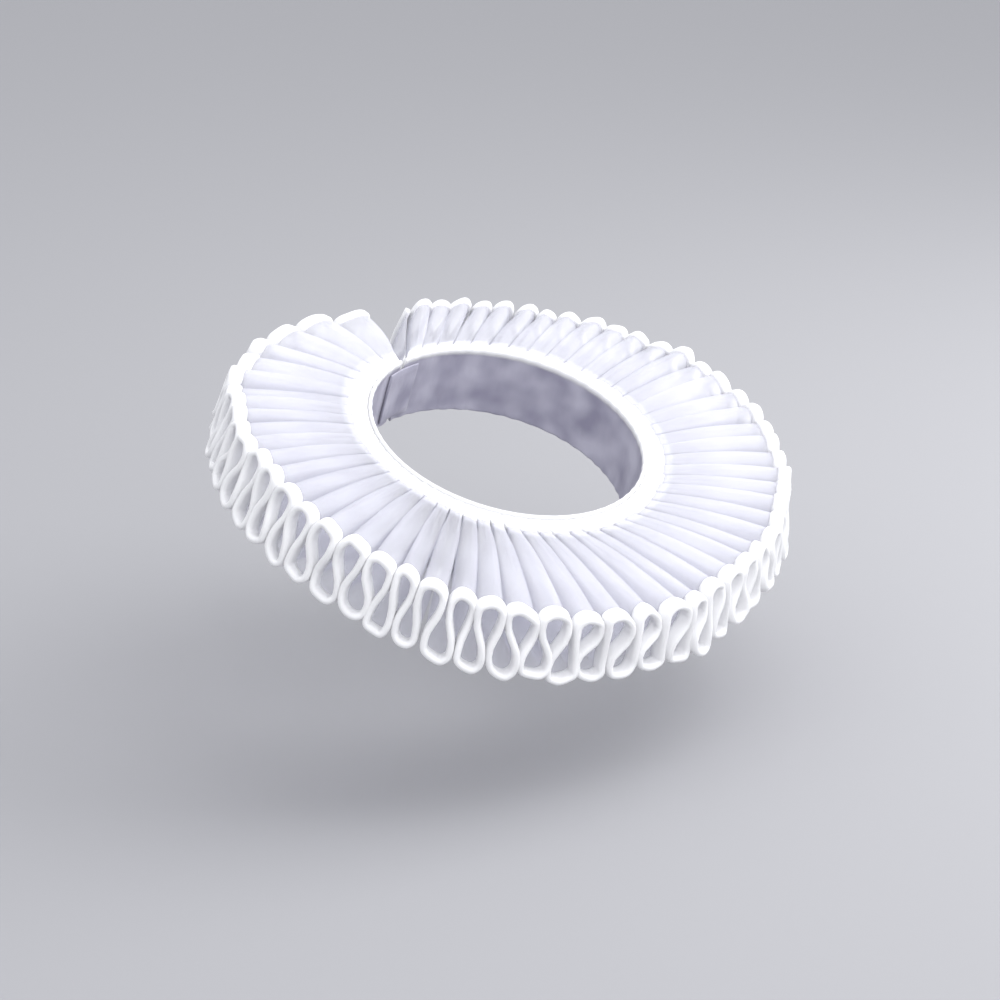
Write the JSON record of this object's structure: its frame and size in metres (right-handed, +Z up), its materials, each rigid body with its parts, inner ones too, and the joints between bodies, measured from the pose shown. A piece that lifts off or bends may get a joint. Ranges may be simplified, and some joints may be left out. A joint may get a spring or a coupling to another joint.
{
  "type": "ruff collar",
  "caption": "Figure-of-eight ruff of sheer white ribbon with satin borders, gathered on a low neckband that closes at the back; worn round the neck, leaning forward.",
  "frame": {"origin": "middle of the neck opening, halfway up the neckband, where the wearer's neck holds the ruff", "axes": "+Z up as worn; the wearer faces -Y, so +X is the wearer's left; the ruff leans 18.3 degrees forward about X"},
  "size_m": [0.34, 0.2794, 0.1281],
  "materials": {
    "organza": "crisp sheer white organza with a faint lavender cast",
    "satin": "opaque white satin border, soft sheen",
    "band_cloth": "smooth satin-faced cloth, lavender grey with lighter patches"
  },
  "bodies": {
    "root": {"ruffle_organza": "organza", "ruffle_satin_edge": "satin", "neckband": "band_cloth", "closure_tab": "band_cloth"}
  },
  "joints": []
}
